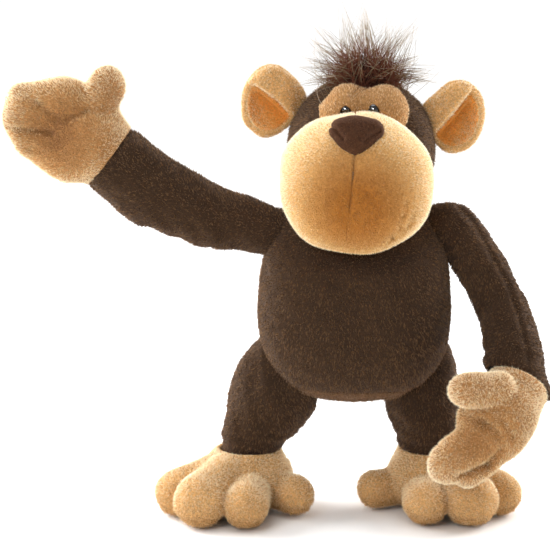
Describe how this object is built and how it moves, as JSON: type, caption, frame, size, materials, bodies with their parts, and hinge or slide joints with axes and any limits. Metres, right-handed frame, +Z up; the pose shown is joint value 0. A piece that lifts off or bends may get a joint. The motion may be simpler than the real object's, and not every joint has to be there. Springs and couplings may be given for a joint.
{
  "type": "stuffed monkey",
  "caption": "Standing plush monkey with long bendable arms, big hands and feet, a round muzzle and a tuft of hair; its head, ears, arms and legs turn at their seams.",
  "frame": {"origin": "middle of the whole figure's box, on the floor that its soles stand on", "axes": "+Z up, the figure faces -Y, its raised right hand points to -X"},
  "size_m": [0.425, 0.1747, 0.392],
  "materials": {
    "brown_plush": "short pile plush",
    "tan_plush": "short pile plush",
    "cream_plush": "short pile plush",
    "ear_plush": "short pile plush",
    "seat_plush": "short pile plush",
    "nose_velour": "velour",
    "hair_fur": "long pile faux fur",
    "eye_plastic": "polished",
    "washer_plastic": "moulded",
    "stuffing": "hollow fibre wadding",
    "bean_cloth": "woven pouch filled with pellets",
    "wire_steel": "annealed wire"
  },
  "bodies": {
    "torso": {"torso_front": "brown_plush", "torso_back": "brown_plush", "seat_panel": "seat_plush", "torso_stuffing": "stuffing", "seat_bean_bag": "bean_cloth", "shoulder_wire": "wire_steel"},
    "neck": {"neck_ring": "brown_plush", "neck_stuffing": "stuffing"},
    "head": {"head_side_right": "brown_plush", "head_side_left": "brown_plush", "face_panel": "tan_plush", "muzzle_right": "cream_plush", "muzzle_left": "cream_plush", "chin_panel": "cream_plush", "nose": "nose_velour", "eye_right": "eye_plastic", "eye_left": "eye_plastic", "eye_washer_right": "washer_plastic", "eye_washer_left": "washer_plastic", "head_stuffing": "stuffing", "muzzle_stuffing": "stuffing", "hair_tuft": "hair_fur"},
    "ear_right": {"ear_back_right": "tan_plush", "ear_inner_right": "ear_plush"},
    "ear_left": {"ear_back_left": "tan_plush", "ear_inner_left": "ear_plush"},
    "upper_arm_right": {"upper_sleeve_right": "brown_plush", "upper_stuffing_right": "stuffing", "upper_wire_right": "wire_steel"},
    "forearm_right": {"fore_sleeve_right": "brown_plush", "fore_stuffing_right": "stuffing", "fore_wire_right": "wire_steel"},
    "hand_right": {"hand_palm_right": "tan_plush", "hand_back_right": "tan_plush", "hand_stuffing_right": "stuffing", "hand_wire_right": "wire_steel"},
    "leg_right": {"leg_sleeve_right": "brown_plush", "leg_stuffing_right": "stuffing"},
    "foot_right": {"foot_upper_right": "tan_plush", "foot_sole_right": "tan_plush", "foot_stuffing_right": "stuffing", "foot_bean_bag_right": "bean_cloth"},
    "upper_arm_left": {"upper_sleeve_left": "brown_plush", "upper_stuffing_left": "stuffing", "upper_wire_left": "wire_steel"},
    "forearm_left": {"fore_sleeve_left": "brown_plush", "fore_stuffing_left": "stuffing", "fore_wire_left": "wire_steel"},
    "hand_left": {"hand_palm_left": "tan_plush", "hand_back_left": "tan_plush", "hand_stuffing_left": "stuffing", "hand_wire_left": "wire_steel"},
    "leg_left": {"leg_sleeve_left": "brown_plush", "leg_stuffing_left": "stuffing"},
    "foot_left": {"foot_upper_left": "tan_plush", "foot_sole_left": "tan_plush", "foot_stuffing_left": "stuffing", "foot_bean_bag_left": "bean_cloth"}
  },
  "joints": [
    {"name": "neck_turn", "type": "hinge", "parent": "torso", "child": "neck", "pos_m": [0.066, 0.0245, 0.285], "axis": [0, 0, 1], "range_deg": [-20, 20]},
    {"name": "neck_nod", "type": "hinge", "parent": "neck", "child": "head", "pos_m": [0.066, 0.0245, 0.285], "axis": [1, 0, 0], "range_deg": [-12, 6]},
    {"name": "ear_flop_right", "type": "hinge", "parent": "head", "child": "ear_right", "pos_m": [0.02, 0.0305, 0.323], "axis": [0, 0, 1], "range_deg": [-25, 25], "stiffness_Nm_per_rad": 0.02},
    {"name": "ear_flop_left", "type": "hinge", "parent": "head", "child": "ear_left", "pos_m": [0.118, 0.0305, 0.313], "axis": [0, 0, 1], "range_deg": [-25, 25], "stiffness_Nm_per_rad": 0.02},
    {"name": "shoulder_right", "type": "hinge", "parent": "torso", "child": "upper_arm_right", "pos_m": [-0.004, 0.0215, 0.222], "axis": [0, 1, 0], "range_deg": [-42, 20]},
    {"name": "elbow_right", "type": "hinge", "parent": "upper_arm_right", "child": "forearm_right", "pos_m": [-0.067, 0.0215, 0.24], "axis": [0, 1, 0], "range_deg": [-35, 35]},
    {"name": "wrist_right", "type": "hinge", "parent": "forearm_right", "child": "hand_right", "pos_m": [-0.131, 0.0215, 0.278], "axis": [0.5101, 0, 0.8601], "range_deg": [-30, 30]},
    {"name": "shoulder_left", "type": "hinge", "parent": "torso", "child": "upper_arm_left", "pos_m": [0.139, 0.0195, 0.222], "axis": [0, -1, 0], "range_deg": [-3, 70]},
    {"name": "elbow_left", "type": "hinge", "parent": "upper_arm_left", "child": "forearm_left", "pos_m": [0.177, 0.0095, 0.167], "axis": [-0.6319, 0.558, -0.538], "range_deg": [0, 45]},
    {"name": "wrist_left", "type": "hinge", "parent": "forearm_left", "child": "hand_left", "pos_m": [0.1875, -0.0355, 0.108], "axis": [-0.086, 0.7848, -0.6138], "range_deg": [0, 14]},
    {"name": "hip_right", "type": "hinge", "parent": "torso", "child": "leg_right", "pos_m": [0, 0.0325, 0.113], "axis": [-1, 0, 0], "range_deg": [-20, 30]},
    {"name": "hip_left", "type": "hinge", "parent": "torso", "child": "leg_left", "pos_m": [0.114, 0.0325, 0.115], "axis": [-1, 0, 0], "range_deg": [-20, 0]},
    {"name": "ankle_right", "type": "hinge", "parent": "leg_right", "child": "foot_right", "pos_m": [-0.019, 0.0245, 0.04], "axis": [1, 0, 0], "range_deg": [-12, 12]},
    {"name": "ankle_left", "type": "hinge", "parent": "leg_left", "child": "foot_left", "pos_m": [0.12, 0.0245, 0.04], "axis": [1, 0, 0], "range_deg": [0, 12]}
  ]
}
